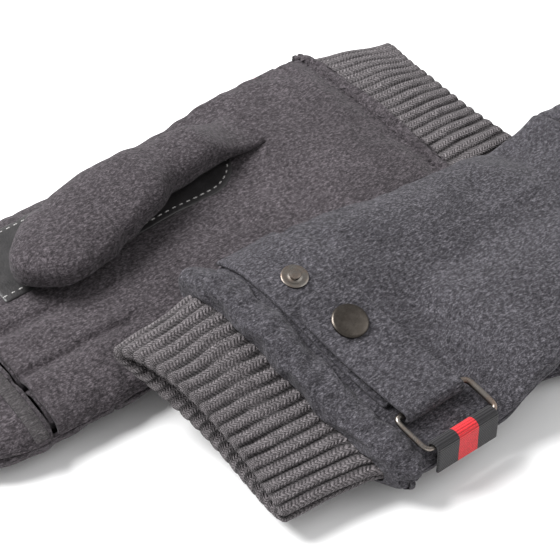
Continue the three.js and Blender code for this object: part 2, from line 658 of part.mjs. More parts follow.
// The part's frame: the middle of the box in plan, the lowest point at zero.
const box = new THREE.Box3().setFromObject(group);
group.position.set(-(box.min.x + box.max.x) / 2, -(box.min.y + box.max.y) / 2, -box.min.z);

export default group;
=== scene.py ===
# %% [markdown]
# # A pair of convertible flip-top mittens
#
# Two charcoal wool mittens: the right one lies palm up, the left one leans on it with its back up.
# Each has a rib-knit cuff, a puffy wrist hem, a strap with snaps, a metal ring, a striped webbing tab,
# and a fingertip cap that hinges back from four open finger stalls.
#
# The CAD frame gives where every piece is and how it moves. The pieces modelled here ride on its bodies.

# %% Load the frame
import math

import bpy
import numpy as np
from mathutils import Matrix, Vector


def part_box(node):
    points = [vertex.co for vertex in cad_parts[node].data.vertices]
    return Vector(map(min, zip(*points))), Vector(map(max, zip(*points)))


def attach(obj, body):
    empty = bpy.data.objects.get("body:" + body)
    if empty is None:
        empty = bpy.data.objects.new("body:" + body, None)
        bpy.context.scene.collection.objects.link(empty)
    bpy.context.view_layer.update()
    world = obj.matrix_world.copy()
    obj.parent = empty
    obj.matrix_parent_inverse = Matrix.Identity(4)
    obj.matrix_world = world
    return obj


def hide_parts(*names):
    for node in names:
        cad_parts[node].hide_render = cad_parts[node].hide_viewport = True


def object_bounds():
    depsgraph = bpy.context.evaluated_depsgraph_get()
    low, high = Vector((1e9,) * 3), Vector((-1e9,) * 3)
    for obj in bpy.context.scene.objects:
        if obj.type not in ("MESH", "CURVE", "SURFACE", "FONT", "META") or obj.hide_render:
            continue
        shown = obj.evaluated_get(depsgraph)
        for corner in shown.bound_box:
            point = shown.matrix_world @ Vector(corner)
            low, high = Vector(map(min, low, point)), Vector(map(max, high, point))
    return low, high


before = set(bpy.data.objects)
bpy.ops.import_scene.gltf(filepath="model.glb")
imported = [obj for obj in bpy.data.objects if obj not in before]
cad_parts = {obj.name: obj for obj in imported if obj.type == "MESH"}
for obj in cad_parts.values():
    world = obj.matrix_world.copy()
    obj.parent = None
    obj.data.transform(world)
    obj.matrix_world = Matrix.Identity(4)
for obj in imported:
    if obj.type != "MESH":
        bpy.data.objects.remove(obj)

cad_box = [list(corner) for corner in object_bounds()]

# %% [markdown]
# ## Hand coordinates
#
# It is easier to draw one mitten than two that lie in different ways, so every soft piece is drawn in the
# hand's own coordinates, in millimetres: u runs from the cuff seam to the fingertips, v across the hand
# towards the thumb, w is the thickness, positive towards the back. `lay` puts such points where the right
# or the left mitten lies. The anchor comes from the CAD cuff, so the pieces follow the frame.

# %% Hand coordinates and how each mitten lies
MM = 0.001
cuff_low, cuff_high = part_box("right_rib_cuff")
ORIGIN = np.array([cuff_high[0] / MM - 113, (cuff_low[1] + cuff_high[1]) / 2 / MM - 40, cad_box[0][2] / MM])
STRAP_U, STRAP_WIDTH, STRAP_WALL = 21.6, 24.0, 1.7


def smooth(x, a, b):
    t = np.clip((np.asarray(x, float) - a) / (b - a), 0, 1)
    return t * t * (3 - 2 * t)


def lerp(a, b, t):
    return a + (b - a) * t


def through(pairs, x):
    """A value that passes smoothly through (place, value) pairs."""
    y = np.full(np.shape(x), float(pairs[0][1]))
    for (x0, y0), (x1, y1) in zip(pairs, pairs[1:]):
        y = np.where(np.asarray(x) > x0, lerp(y0, y1, smooth(x, x0, x1)), y)
    return y


def centre_at(u):
    return 2 - 0.03 * np.maximum(u, 0)


def round_off(u):
    return np.sqrt(np.clip(1 - (np.maximum(u - 176, 0) / 40) ** 2, 0, 1))


def half_width(u):
    body = through([(0, 45.5), (13, 45.5), (70, 48), (128, 48), (176, 46.5)], u) * round_off(u)
    return np.where(u < 0, 42 + 4.5 * u / 38, body)


def half_height(u):
    body = through([(0, 9.2), (45.6, 9.2), (80, 9.6)], u) * lerp(0.3, 1, round_off(u))
    return np.where(u < 0, 6.8 - 0.2 * u / 38, body)


def rise(across):
    return np.minimum(np.clip(1 - np.abs(across) ** 2.5, 0, 1) ** 0.4, 0.985)


def surface(u, v, grow=0.0):
    return (half_height(u) + grow) * rise(np.clip(np.abs(v - centre_at(u)) / (half_width(u) + grow), 0, 1))


def section(u, angle, grow):
    """Points on the mitten's section: angle 0 is the thumb side, a quarter turn is the back."""
    across = np.cos(angle)
    dip = np.where(u < 0, 5 * (u / 38) ** 2 * (1 - across**2), 0)
    w = np.maximum(half_height(u) + grow, 0.3) * rise(across) * np.sign(np.sin(angle))
    return [u + dip, centre_at(u) + np.maximum(half_width(u) + grow, 0.4) * across, w]


def right_lift(u):
    return through([(-38, 4.5), (-12, 8.5), (36, 8.5), (72, 2.4), (84, 2.4), (108, 0)], u)


def left_lift(u, v):
    past = smooth(u, 36, 60)
    on_right = (18.5 + past * np.maximum(right_lift(105 - u), 0)) * smooth(-42 - v, -78, -2)
    draped = lerp(on_right, np.maximum(on_right, 12.55 * past), smooth(v, -25, 20)) + 1.6 * (1 - past)
    return lerp(draped, 13 - 0.15 * np.maximum(u - 156, 0), smooth(u, 108, 144))


def thumb_side_ease(u, v):
    """The left wrist spreads a little towards its thumb side."""
    return 5 * smooth(v, 10, 42) * (1 - smooth(u, 50, 90)) * smooth(u, -8, 3)


def lay(side, u, v, w):
    """Hand coordinates to metres in the frame. Soft wool also gives: the right palm sinks over the hollow
    wrist and its back lies flat on the table, and the left mitten settles on it and draws in on its
    little-finger side."""
    if side == "right":
        sink = through([(-38, 0), (-12, 1.5), (4, 5.5), (45, 5.5), (75, 2.4), (110, 0)], u)
        drop = through([(-38, 6), (-12, 5), (0, 2.6), (10, 0)], u)
        x, y, z = 75 - u, 38 + v, 9.6 + right_lift(u) - w - drop - sink * np.clip(-w / 9.2, 0, 1)
        z = np.maximum(z, 0)
    else:
        over = (1 - smooth(u, 125, 150)) * (1 - smooth(v, -40, 20))
        drop = smooth(u, 36, 60) * right_lift(105 - u) + 4 * smooth(u, 50, 110)
        give = 1 - 0.65 * np.where(w < 0, smooth(-v, 12, 34) * smooth(u, 42, 62) * over, 0)
        z = 9.6 + left_lift(u, v) + w * give - drop * over
        v = v + 8 * smooth(-v, 0, 45) * smooth(u, 30, 90) + thumb_side_ease(u, v)
        x, y = -30 + u + 0.14 * v, -42 - v
    return (np.stack(np.broadcast_arrays(x, y, z), -1) + ORIGIN) * MM


def ripple(a, b, size, seed):
    """Soft irregular waves about `size` long, between about -1 and 1, the same on every run."""
    rng = np.random.default_rng(seed)
    total = 0
    for _ in range(7):
        turn, shift, tight = rng.uniform(0, 2 * np.pi), rng.uniform(0, 2 * np.pi), rng.uniform(0.6, 1.7)
        total = total + np.sin((a * np.cos(turn) + b * np.sin(turn)) * tight * 2 * np.pi / size + shift)
    return total / 2.6


print("anchor in mm:", ORIGIN.round(2))

# %% [markdown]
# ## Building a piece of cloth
#
# A cloth piece starts as a plain grid, which brings its own UV map, and every corner of the grid is moved
# to its place on the hand. Then Solidify gives it a wall and Subdivision rounds its cut edges. Both are
# applied, so that the mesh is final. A grid that closes on itself is welded first.
#
# The shell panels, the caps and the wrist hem are also let loose for a few frames of Blender's Cloth
# simulation, held at their seams, to get the soft uneven pucker of sewn wool. Left alone it moves the cloth
# by several millimetres, through its neighbours, so every corner is kept within a set distance of where it
# was drawn. The simulation therefore gives the direction of the pucker, and that limit gives much of its
# height.

# %% Selecting, welding and applying
SAME_PLACE = 1e-5


def select_only(piece):
    bpy.ops.object.select_all(action="DESELECT")
    bpy.context.view_layer.objects.active = piece
    piece.select_set(True)


def run_modifiers(piece):
    select_only(piece)
    for modifier in list(piece.modifiers):
        bpy.ops.object.modifier_apply(modifier=modifier.name)


def tidy_mesh(piece, weld=0.0, outward=None):
    """Welds doubled corners and turns the faces outwards: `outward` holds a direction for each corner."""
    if outward is not None:
        mesh = piece.data
        facing = sum(
            p.normal.dot(Vector(outward[p.vertices[0]])) * p.area for p in mesh.polygons
        )
        if facing < 0:
            mesh.flip_normals()
    if weld:
        bpy.context.view_layer.objects.active = piece
        bpy.ops.object.mode_set(mode="EDIT")
        bpy.ops.mesh.select_all(action="SELECT")
        bpy.ops.mesh.remove_doubles(threshold=weld)
        bpy.ops.object.mode_set(mode="OBJECT")


print("corners closer than", SAME_PLACE / MM, "mm are welded")

# %% Puckering between seams
def swell(piece, growth, most, frames=16):
    """Lets the cloth grow by a share between its pinned seams, under slight pressure, so that it puckers as
    sewn cloth does. No corner moves further than `most` mm, or under the table."""
    mesh = piece.data
    before = np.empty(len(mesh.vertices) * 3)
    mesh.vertices.foreach_get("co", before)
    blown = piece.modifiers.new("swell", "CLOTH")
    blown.settings.quality = 4
    blown.settings.mass = 0.15
    blown.settings.vertex_group_mass = "seams"
    blown.settings.use_pressure = True
    blown.settings.uniform_pressure_force = 4
    blown.settings.shrink_min = -growth
    blown.settings.effector_weights.gravity = 0
    blown.collision_settings.use_collision = False
    blown.point_cache.frame_end = frames
    for step in range(1, frames + 1):
        bpy.context.scene.frame_set(step)
    run_modifiers(piece)
    after = np.empty(len(mesh.vertices) * 3)
    mesh.vertices.foreach_get("co", after)
    moved = (after - before).reshape(-1, 3)
    far = np.linalg.norm(moved, axis=1, keepdims=True) / MM
    share = np.minimum(1, most / (far + 1e-9))
    places = before.reshape(-1, 3) + moved * share
    places[:, 2] = np.maximum(places[:, 2], cad_box[0][2])
    mesh.vertices.foreach_set("co", places.ravel())
    mesh.update()
    bpy.context.scene.frame_set(1)
    held_back = 100 * float((far > most).mean())
    print(f"{piece.name} simulated motion: mean {far.mean():.2f} mm, most {far.max():.2f} mm;",
          f"kept to {most} mm, which held back {held_back:.0f} % of the corners")


# %% The cloth builder
def cloth(name, side, counts, at, wall, weld=0.0, levels=1, offset=-1.0, seams=None, growth=0.012, most=0.6):
    """at(s, t, out) gives the hand coordinates (u, v, w) of a corner, `out` mm over the surface.
    seams(s, t) is true where the cloth is sewn down, if it is to swell between its seams."""
    bpy.ops.mesh.primitive_grid_add(x_subdivisions=counts[0], y_subdivisions=counts[1], size=1)
    piece = bpy.context.object
    piece.name = piece.data.name = f"{side}_{name}_cloth"
    flat = np.empty(len(piece.data.vertices) * 3)
    piece.data.vertices.foreach_get("co", flat)
    s, t = flat.reshape(-1, 3)[:, 0] + 0.5, flat.reshape(-1, 3)[:, 1] + 0.5
    places = lay(side, *at(s, t, 0.0))
    outward = lay(side, *at(s, t, 1.0)) - places
    piece.data.vertices.foreach_set("co", places.ravel())
    piece.data.update()
    if seams:
        held = piece.vertex_groups.new(name="seams")
        held.add(np.nonzero(seams(s, t))[0].tolist(), 1.0, "REPLACE")
    tidy_mesh(piece, weld, outward)
    if seams:
        swell(piece, growth, most)
    piece.vertex_groups.clear()
    if wall:
        solid = piece.modifiers.new("wall", "SOLIDIFY")
        solid.thickness, solid.offset = wall * MM, offset
    if levels:
        fine = piece.modifiers.new("fine", "SUBSURF")
        fine.levels = fine.render_levels = levels
    run_modifiers(piece)
    bpy.ops.object.shade_smooth()
    return piece


def finish_piece(piece, body, material, slot, *nodes):
    piece.data.materials.clear()
    piece.data.materials.append(material)
    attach(piece, body)
    if nodes:
        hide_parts(*nodes)
    print(piece.name, "faces:", len(piece.data.polygons))
    return piece


# %% [markdown]
# ## Materials
#
# All of them are procedural: noise, waves and the pieces' own UV maps. Wool melton is a felted cloth, so
# it has no weave to see. What shows is a mix of dark and light fibres about a millimetre long, soft broad
# shade changes, a fine fuzz in the bump, and a sheen that lightens the edges.

# %% Node helpers
def node(mat, kind, inputs=None, **settings):
    made = mat.node_tree.nodes.new("ShaderNode" + kind)
    for key, value in settings.items():
        setattr(made, key, value)
    for key, value in (inputs or {}).items():
        if isinstance(value, bpy.types.NodeSocket):
            mat.node_tree.links.new(value, made.inputs[key])
        else:
            made.inputs[key].default_value = value
    return made


def maths(mat, operation, a, b=0.0):
    return node(mat, "Math", {0: a, 1: b}, operation=operation).outputs[0]


def noise(mat, where, scale, detail=3.0, rough=0.5, twist=0.0):
    return node(mat, "TexNoise", {"Vector": where, "Scale": scale, "Detail": detail, "Roughness": rough,
                                  "Distortion": twist}).outputs[0]


def ramp(mat, fac, stops, hard=False):
    made = node(mat, "ValToRGB", {"Fac": fac})
    made.color_ramp.interpolation = "CONSTANT" if hard else "LINEAR"
    while len(made.color_ramp.elements) < len(stops):
        made.color_ramp.elements.new(0.5)
    for element, (place, colour) in zip(made.color_ramp.elements, stops):
        element.position = place
        element.color = (*colour, 1) if hasattr(colour, "__len__") else (colour, colour, colour, 1)
    return made.outputs[0]


def mixed(mat, fac, a, b, blend="MIX"):
    made = node(mat, "Mix", {0: fac, 6: a, 7: b}, data_type="RGBA", blend_type=blend)
    return made.outputs[2]


def start_material(name):
    mat = bpy.data.materials.new(name)
    mat.use_nodes = True
    shader = mat.node_tree.nodes["Principled BSDF"]
    where = node(mat, "TexCoord").outputs["Object"]
    return mat, shader, where


def join(mat, shader, **sockets):
    for key, value in sockets.items():
        socket = shader.inputs[key.replace("_", " ")]
        if isinstance(value, bpy.types.NodeSocket):
            mat.node_tree.links.new(value, socket)
        else:
            socket.default_value = value


def bump(mat, height, strength, distance, under=None):
    inputs = {"Height": height, "Strength": strength, "Distance": distance}
    if under is not None:
        inputs["Normal"] = under
    return node(mat, "Bump", inputs).outputs[0]


print("materials before:", len(bpy.data.materials))

# %% [markdown]
# ### Wool
#
# Two noises make the fibres: one is stretched along one direction and one across it, which gives short
# crossing strokes instead of round spots. A very fine noise breaks them up, and a broad one changes the
# shade a little from place to place, as brushed cloth does.

# %% Wool melton
def fibres(mat, where):
    strokes = []
    for turn in ((0.3, 0.2, 0.5), (0.9, 0.7, 2.0), (1.9, 0.3, 1.2)):
        along = node(mat, "Mapping", {"Vector": where, "Rotation": turn, "Scale": (0.42, 1.5, 1.5)}).outputs[0]
        strokes.append(noise(mat, along, 1700.0, 4.0, 0.75, 0.5))
    both = maths(mat, "ADD", maths(mat, "ADD", strokes[0], strokes[1]), strokes[2])
    return maths(mat, "DIVIDE", both, 3.0)


def wool(name, dark, mid, light):
    mat, shader, where = start_material(name)
    fibre = fibres(mat, where)
    colour = ramp(mat, fibre, [(0.39, dark), (0.5, mid), (0.62, light)])
    speck = ramp(mat, noise(mat, where, 850.0, 2.0, 0.6), [(0.36, 0.62), (0.62, 1.36)])
    broad = ramp(mat, noise(mat, where, 38.0, 3.0, 0.6), [(0.3, 0.86), (0.7, 1.14)])
    colour = mixed(mat, 1.0, colour, speck, "MULTIPLY")
    colour = mixed(mat, 1.0, colour, broad, "MULTIPLY")
    fuzz = noise(mat, where, 2600.0, 2.0, 0.7)
    height = maths(mat, "ADD", fibre, maths(mat, "MULTIPLY", fuzz, 0.5))
    lumps = bump(mat, noise(mat, where, 230.0, 3.0, 0.6), 0.35, 0.0006)
    join(mat, shader, Base_Color=colour, Roughness=0.95, Normal=bump(mat, height, 0.75, 0.0005, lumps))
    join(mat, shader, Sheen_Weight=0.07, Sheen_Roughness=0.5, Specular_IOR_Level=0.08)
    return mat


WOOL = {
    "right": wool("right wool", (0.016, 0.014, 0.0153), (0.05, 0.0435, 0.048), (0.138, 0.122, 0.133)),
    "left": wool("left wool", (0.012, 0.0114, 0.0142), (0.048, 0.0455, 0.052), (0.165, 0.158, 0.174)),
}
print("wool:", [mat.name for mat in WOOL.values()])

# %% [markdown]
# ### Rib knit, fleece, leather, webbing, thread and metal
#
# The ribs themselves are real geometry, and the colour adds painted shade in the valleys between them.
# The knit stitches between them are too small for geometry: they come from the UV map, as rows of small V
# shapes, in bump and in painted shade between the rows. The webbing's three bands and its fine cross ribs
# also come from the UV map, so they follow the band round its bends; the cross ribs are bump and painted shade.

# %% Rib knit
RIBS = 36


def rib_knit():
    mat, shader, where = start_material("rib knit")
    uv = node(mat, "SeparateXYZ", {0: node(mat, "TexCoord").outputs["UV"]}).outputs
    wobble = maths(mat, "MULTIPLY", noise(mat, where, 160.0, 2.0), 0.006)
    column = maths(mat, "FRACT", maths(mat, "MULTIPLY", maths(mat, "ADD", uv[1], wobble), RIBS * 2.0))
    slope = maths(mat, "ABSOLUTE", maths(mat, "SUBTRACT", column, 0.5))
    rows = maths(mat, "ADD", maths(mat, "MULTIPLY", uv[0], 46.0), maths(mat, "MULTIPLY", slope, 1.5))
    rows = maths(mat, "ADD", rows, maths(mat, "MULTIPLY", noise(mat, where, 240.0, 2.0), 1.3))
    stitch = maths(mat, "ABSOLUTE", maths(mat, "SINE", maths(mat, "MULTIPLY", rows, math.pi)))
    # Painted shade: the colour is darkened in the valleys between the ribs and a little lightened on their
    # crests.
    valley_shade_mask = maths(mat, "ABSOLUTE", maths(mat, "SINE", maths(mat, "MULTIPLY", uv[1], math.pi * RIBS)))
    shade = ramp(mat, valley_shade_mask, [(0.0, 0.25), (0.45, 0.8), (0.85, 1.12)])
    fibre = fibres(mat, where)
    colour = ramp(mat, fibre, [(0.39, (0.034, 0.0305, 0.032)), (0.5, (0.106, 0.096, 0.1)),
                               (0.62, (0.27, 0.247, 0.256))])
    colour = mixed(mat, 1.0, colour, shade, "MULTIPLY")
    # Painted shade: the colour is darkened between the rows of knit stitches, where the bump dips.
    colour = mixed(mat, 1.0, colour, ramp(mat, stitch, [(0.0, 0.5), (0.6, 1.12)]), "MULTIPLY")
    fuzz = bump(mat, fibre, 0.6, 0.0005)
    join(mat, shader, Base_Color=colour, Roughness=0.95, Normal=bump(mat, stitch, 0.8, 0.0007, fuzz))
    join(mat, shader, Sheen_Weight=0.07, Sheen_Roughness=0.5, Specular_IOR_Level=0.08)
    return mat


RIB = rib_knit()
print("rib knit:", RIBS, "ribs round the cuff")


# %% Fleece, leather, webbing, thread and metal
def fleece_lining():
    mat, shader, where = start_material("fleece lining")
    pile = noise(mat, where, 700.0, 4.0, 0.7)
    colour = ramp(mat, pile, [(0.35, (0.012, 0.012, 0.014)), (0.65, (0.05, 0.05, 0.056))])
    join(mat, shader, Base_Color=colour, Roughness=1.0, Normal=bump(mat, pile, 0.9, 0.001))
    join(mat, shader, Sheen_Weight=0.4, Specular_IOR_Level=0.1)
    return mat


def smooth_leather():
    mat, shader, where = start_material("smooth black leather")
    grain = node(mat, "TexVoronoi", {"Vector": where, "Scale": 1300.0}).outputs["Distance"]
    creases = noise(mat, where, 210.0, 4.0, 0.65)
    colour = ramp(mat, creases, [(0.3, (0.009, 0.0085, 0.009)), (0.7, (0.024, 0.022, 0.023))])
    height = maths(mat, "ADD", maths(mat, "MULTIPLY", grain, 0.6), creases)
    join(mat, shader, Base_Color=colour, Normal=bump(mat, height, 0.3, 0.0004))
    join(mat, shader, Roughness=ramp(mat, noise(mat, where, 90.0), [(0.3, 0.36), (0.7, 0.55)]))
    return mat


def striped_webbing():
    mat, shader, where = start_material("striped webbing")
    uv = node(mat, "SeparateXYZ", {0: node(mat, "TexCoord").outputs["UV"]}).outputs
    edge = maths(mat, "ADD", uv[1], maths(mat, "MULTIPLY", noise(mat, where, 900.0), 0.012))
    black, red = (0.0075, 0.0065, 0.0085), (0.62, 0.012, 0.02)
    bands = ramp(mat, edge, [(0.0, black), (0.345, red), (0.665, black)], hard=True)
    cross = maths(mat, "ABSOLUTE", maths(mat, "SINE", maths(mat, "MULTIPLY", uv[0], math.pi * 24)))
    yarn = noise(mat, where, 1900.0, 3.0, 0.7)
    # Painted shade: the colour is darkened in the grooves between the cross ribs; the yarn noise is the band's
    # own uneven tone.
    rows = ramp(mat, cross, [(0.0, 0.4), (0.5, 1.05)])
    shade = mixed(mat, 1.0, rows, ramp(mat, yarn, [(0.3, 0.7), (0.7, 1.25)]), "MULTIPLY")
    fine = bump(mat, yarn, 0.4, 0.0003)
    join(mat, shader, Base_Color=mixed(mat, 1.0, bands, shade, "MULTIPLY"), Roughness=0.72)
    join(mat, shader, Normal=bump(mat, cross, 0.7, 0.0003, fine), Sheen_Weight=0.12)
    return mat


def thread():
    mat, shader, where = start_material("stitching thread")
    twist = node(mat, "TexWave", {"Vector": where, "Scale": 420.0, "Distortion": 2.0}).outputs["Fac"]
    # Painted shade and light: the thread is darker in the grooves of its twist and lighter on the crests.
    colour = ramp(mat, twist, [(0.2, (0.24, 0.235, 0.23)), (0.8, (0.5, 0.49, 0.48))])
    join(mat, shader, Base_Color=colour, Roughness=0.8, Normal=bump(mat, twist, 0.5, 0.0002))
    return mat


def metal(name, colour, worn, rough):
    mat, shader, where = start_material(name)
    wear = noise(mat, where, 260.0, 5.0, 0.7)
    scratches = noise(mat, node(mat, "Mapping", {"Vector": where, "Scale": (1.0, 9.0, 1.0)}).outputs[0], 900.0)
    tone = ramp(mat, wear, [(0.42, colour), (0.72, worn)])
    join(mat, shader, Base_Color=tone, Metallic=1.0)
    join(mat, shader, Roughness=ramp(mat, scratches, [(0.3, rough), (0.7, rough + 0.14)]))
    join(mat, shader, Normal=bump(mat, wear, 0.06, 0.0002))
    return mat


FLEECE, LEATHER, WEBBING, THREAD = fleece_lining(), smooth_leather(), striped_webbing(), thread()
GUNMETAL = metal("gunmetal", (0.062, 0.054, 0.047), (0.1, 0.088, 0.078), 0.24)
NICKEL = metal("worn nickel", (0.2, 0.185, 0.17), (0.22, 0.16, 0.125), 0.24)
print("materials:", len(bpy.data.materials))

# %% [markdown]
# ## The shell
#
# The shell is two cut panels, back and palm, sewn together down both sides. Each is half of the section:
# it swells a little between the seams, dips at the seam itself, and has soft irregular waves from being
# worn and packed. The palm panel runs on over the four finger stalls, and two creases between the stalls
# start where the cloth is stitched down between the fingers. On the back, three sewn points run from the
# middle of the hand towards the knuckles.

# %% Shell panels
SHELL_WALL, BINDING_WALL = 2.3, 0.7
BACK_SEAM_U, PALM_EDGE_U, CAP_EDGE_U, TIP_U = 150.0, 172.0, 173.5, 215.8
CREASES = ((-27, 125), (-7.5, 143), (13.5, 143))
POINTS = ((25, 75), (7, 82), (-11, 77))


def cloth_shape(side, face):
    """How far the cloth stands over its section, in mm, at hand coordinates u and v."""
    seed = {"right": 11, "left": 23}[side] + face

    def over(u, v):
        depth = np.minimum(half_width(u) - np.abs(v - centre_at(u)), 40)
        rise_in = 0.35 * ripple(u, v, 46, seed) + 0.16 * ripple(u, v, 17, seed + 1)
        puckers = 0.35 * np.sin(u / 2.3 + ripple(u, v, 30, seed + 2) * 2) * np.exp(-depth / 5)
        seam = -1.1 * np.exp(-((depth / 1.6) ** 2))
        total = rise_in + puckers * 0.6 + seam
        if face < 0:
            for v0, start in CREASES:
                line = v0 + 0.5 * ripple(u, 0 * u, 40, seed + 5)
                total = total - 2.6 * smooth(u, start - 4, start + 6) * np.exp(-(((v - line) / 1.5) ** 2))
                total = total + 0.5 * smooth(u, start, start + 10) * np.exp(-(((v - line) / 6) ** 2))
        else:
            for v0, start in POINTS:
                line = v0 + (u - start) * 0.02
                total = total + smooth(u, start, start + 5) * (
                    0.8 * np.exp(-(((v - line) / 1.1) ** 2)) - 0.5 * np.exp(-(((v - line - 1.9) / 0.8) ** 2)))
        return total

    return over


def half_panel(side, face, u0, u1, curve=1.0, closes=False):
    over = cloth_shape(side, face)

    def at(s, t, out):
        u = lerp(u0, u1, s**curve)
        angle = face * np.pi * t
        flat_v = centre_at(u) + half_width(u) * np.cos(angle)
        u, v, w = section(u, angle, over(u, flat_v) + out)
        if closes:
            w = w * np.sqrt(np.clip(1 - np.maximum((s - 0.88) / 0.12, 0) ** 2, 0, 1))
        return u, v, face * np.maximum(face * w, 0) + face * 0.12

    return at


def mitten_shell(side):
    body, cap = side + "_mitten", side + "_flip_cap"
    sewn = lambda s, t: (t < 0.02) | (t > 0.98) | (s < 0.01) | (s > 0.99)
    back = cloth("shell_back", side, (76, 64), half_panel(side, 1, 0, BACK_SEAM_U - 0.2), SHELL_WALL, seams=sewn)
    finish_piece(back, body, WOOL[side], side + "_wool", side + "_back_panel")
    palm = cloth("shell_palm", side, (100, 76), half_panel(side, -1, 0, PALM_EDGE_U), SHELL_WALL, seams=sewn)
    finish_piece(palm, body, WOOL[side], side + "_wool", side + "_palm_panel")
    cap_top = half_panel(side, 1, BACK_SEAM_U + 0.2, TIP_U, 0.75, True)
    top = cloth("cap_back", side, (44, 60), cap_top, SHELL_WALL, seams=sewn)
    finish_piece(top, cap, WOOL[side], side + "_wool", side + "_cap_back")
    cap_under = half_panel(side, -1, CAP_EDGE_U, TIP_U, 0.7, True)
    under = cloth("cap_palm", side, (30, 60), cap_under, SHELL_WALL, seams=sewn)
    finish_piece(under, cap, WOOL[side], side + "_wool", side + "_cap_palm")

    def binding_at(s, t, out):
        u = lerp(176, 181, t)
        angle = -lerp(0.07, 0.93, s) * np.pi
        puff = 0.5 * np.sin(np.pi * t) + 0.12 * np.abs(np.sin(s * 190))
        return section(u, angle, 0.2 + puff + out)

    binding = cloth("binding", side, (150, 6), binding_at, BINDING_WALL, offset=1.0)
    finish_piece(binding, cap, RIB, "rib_knit", side + "_cap_binding")


for side in ("right", "left"):
    mitten_shell(side)

# %% [markdown]
# ## Finger stalls and lining
#
# The stalls are short open tubes under the cap. The lining is a fleece tube, seen only through the cuff.

# %% Stalls and lining
STALLS = (("little", -44, -27), ("ring", -27, -7.5), ("middle", -7.5, 13.5), ("index", 13.5, 38.5))


def finger_stall(side, name, low, high):
    def at(s, t, out):
        u = lerp(128, 172, s)
        angle = 2 * np.pi * t
        bend = lambda x: np.sign(x) * np.abs(x) ** 0.8
        half = (high - low) / 2 - 0.3
        v = (low + high) / 2 + (half + out) * bend(np.cos(angle))
        room = np.clip(surface(u, v, -3.0), 0.5, 6.8)
        w = (room + out) * bend(np.sin(angle)) + 0.12 * ripple(u, 10 * angle, 14, 5)
        return u, v, w

    piece = cloth(name + "_stall", side, (26, 40), at, 1.6, weld=SAME_PLACE)
    finish_piece(piece, side + "_mitten", WOOL[side], side + "_wool", f"{side}_{name}_stall")


def lining(side):
    def at(s, t, out):
        return section(lerp(4, 124, s), 2 * np.pi * t, -3.0 + out)

    piece = cloth("fleece_lining", side, (40, 56), at, 1.2, weld=SAME_PLACE)
    finish_piece(piece, side + "_mitten", FLEECE, "fleece", side + "_lining")


for side in ("right", "left"):
    for stall in STALLS:
        finger_stall(side, *stall)
    lining(side)

# %% [markdown]
# ## The rib cuff
#
# A rib cuff is a knitted tube folded double at its mouth. The profile of one rib runs from inside the hem
# to the mouth, turns over a soft roll and goes back inside. It is repeated round the cuff as rounded
# ridges with narrow valleys. The ridges are spaced evenly along the outline, so they are measured off
# along it, and they wander a little, as knitting does.

# %% Rib cuff
def even_angles(u):
    angles = np.linspace(0, 2 * np.pi, 3000)
    _, v, w = section(np.full(3000, float(u)), angles, 0.0)
    length = np.concatenate([[0], np.cumsum(np.hypot(np.diff(v), np.diff(w)))])
    return lambda t: np.interp(t, length / length[-1], angles)


def rib_cuff(side):
    angle_of = even_angles(-24)
    seed = {"right": 41, "left": 57}[side]
    roll = 1.9

    def at(s, t, out):
        outer, turn = 0.6, 0.76
        straight = lerp(3, -38 + roll, np.clip(s / outer, 0, 1))
        arc = np.pi * np.clip((s - outer) / (turn - outer), 0, 1)
        back = np.clip((s - turn) / (1 - turn), 0, 1)
        u = straight - roll * np.sin(arc) + back * 14
        grow = -roll * (1 - np.cos(arc)) + 0.55 * np.sin(arc) + out * np.where(s > 0.68, -1, 1)
        grow = grow - 0.9 * smooth(straight, -6, 3)
        wander = 0.0022 * ripple(u, 100 * t, 24, seed) * (1 - np.abs(2 * t - 1) ** 8)
        ridge = np.abs(np.sin(np.pi * RIBS * (t + wander))) ** 0.62
        uneven = 1 + 0.26 * ripple(u, 260 * t, 18, seed + 1)
        grow = grow + (1.5 * (ridge - 0.75) * uneven) * np.where(s > turn, 0.4, 1)
        grow = grow + 0.4 * ripple(u, 120 * t, 34, seed + 2) * (1 - smooth(u, -4, 3))
        seat = np.where(u > 0, -2.6, 0.0)
        return section(u, angle_of(t), np.maximum(grow + seat, -5.5))

    piece = cloth("rib_cuff", side, (58, RIBS * 10), at, 0, weld=SAME_PLACE, levels=0)
    finish_piece(piece, side + "_mitten", RIB, "rib_knit", side + "_rib_cuff")


for side in ("right", "left"):
    rib_cuff(side)

# %% [markdown]
# ## The wrist hem
#
# On the back of the hand the shell ends in a fat roll of cloth that overhangs the cuff. Its section is most
# of a circle, tucked under at both ends. It is thickest in the middle of the back, thin on the palm side,
# and the gathering puts short slanting wrinkles across it.

